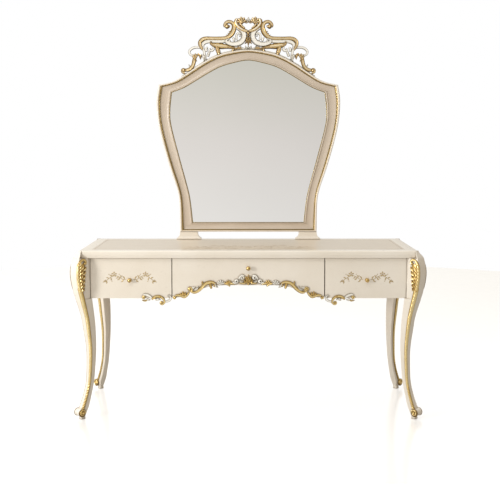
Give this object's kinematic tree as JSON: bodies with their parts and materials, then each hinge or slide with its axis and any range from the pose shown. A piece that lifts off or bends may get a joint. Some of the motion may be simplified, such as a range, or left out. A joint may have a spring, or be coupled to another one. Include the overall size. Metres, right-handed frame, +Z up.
{
  "type": "vanity table with mirror",
  "caption": "Dressing table on cabriole legs with a row of drawers, gilt carving and a fixed shaped mirror with an openwork crest.",
  "frame": {"origin": "on the floor, in the middle of the footprint", "axes": "+Z up; -Y is the front, where the drawers open; +X to the right of somebody who faces the table"},
  "size_m": [1.6256, 0.5896, 1.914],
  "materials": {
    "lacquer": "ivory satin lacquer on wood, with gilded lines",
    "veneer": "ivory stained veneer with inlaid scrolls, satin lacquer",
    "carved_gilding": "carved wood, antique gilding and white paint",
    "brass": "turned, satin",
    "screw_steel": "zinc plated",
    "drawer_wood": "planed hardwood, sealed",
    "backing": "plain board",
    "mirror_glass": "silvered float glass"
  },
  "bodies": {
    "root": {"back_apron": "lacquer", "corner_block_back_left": "drawer_wood", "corner_block_back_right": "drawer_wood", "corner_block_front_left": "drawer_wood", "corner_block_front_right": "drawer_wood", "divider_left": "drawer_wood", "divider_right": "drawer_wood", "front_rail": "drawer_wood", "leg_back_left": "lacquer", "leg_back_right": "lacquer", "leg_front_left": "lacquer", "leg_front_right": "lacquer", "mirror_backboard": "backing", "mirror_crest": "carved_gilding", "mirror_frame_bottom": "lacquer", "mirror_frame_left": "lacquer", "mirror_frame_right": "lacquer", "mirror_frame_top": "lacquer", "mirror_glass": "mirror_glass", "mirror_pedestal_left": "lacquer", "mirror_pedestal_right": "lacquer", "mirror_strut_left": "drawer_wood", "mirror_strut_right": "drawer_wood", "runner_centre_left": "drawer_wood", "runner_centre_right": "drawer_wood", "runner_left_inner": "drawer_wood", "runner_left_outer": "drawer_wood", "runner_right_inner": "drawer_wood", "runner_right_outer": "drawer_wood", "side_apron_left": "lacquer", "side_apron_right": "lacquer", "top_border_back": "lacquer", "top_border_front": "lacquer", "top_border_left": "lacquer", "top_border_right": "lacquer", "top_panel": "veneer"},
    "drawer_left": {"drawer_left_back": "drawer_wood", "drawer_left_bottom": "drawer_wood", "drawer_left_carving": "carved_gilding", "drawer_left_front": "lacquer", "drawer_left_knob": "brass", "drawer_left_screw": "screw_steel", "drawer_left_side_left": "drawer_wood", "drawer_left_side_right": "drawer_wood"},
    "drawer_centre": {"drawer_centre_back": "drawer_wood", "drawer_centre_bottom": "drawer_wood", "drawer_centre_carving": "carved_gilding", "drawer_centre_front": "lacquer", "drawer_centre_knob": "brass", "drawer_centre_screw": "screw_steel", "drawer_centre_side_left": "drawer_wood", "drawer_centre_side_right": "drawer_wood"},
    "drawer_right": {"drawer_right_back": "drawer_wood", "drawer_right_bottom": "drawer_wood", "drawer_right_carving": "carved_gilding", "drawer_right_front": "lacquer", "drawer_right_knob": "brass", "drawer_right_screw": "screw_steel", "drawer_right_side_left": "drawer_wood", "drawer_right_side_right": "drawer_wood"}
  },
  "joints": [
    {"name": "drawer_left_slide", "type": "slide", "parent": "root", "child": "drawer_left", "axis": [0, -1, 0], "range_m": [0, 0.3]},
    {"name": "drawer_centre_slide", "type": "slide", "parent": "root", "child": "drawer_centre", "axis": [0, -1, 0], "range_m": [0, 0.3]},
    {"name": "drawer_right_slide", "type": "slide", "parent": "root", "child": "drawer_right", "axis": [0, -1, 0], "range_m": [0, 0.3]}
  ]
}
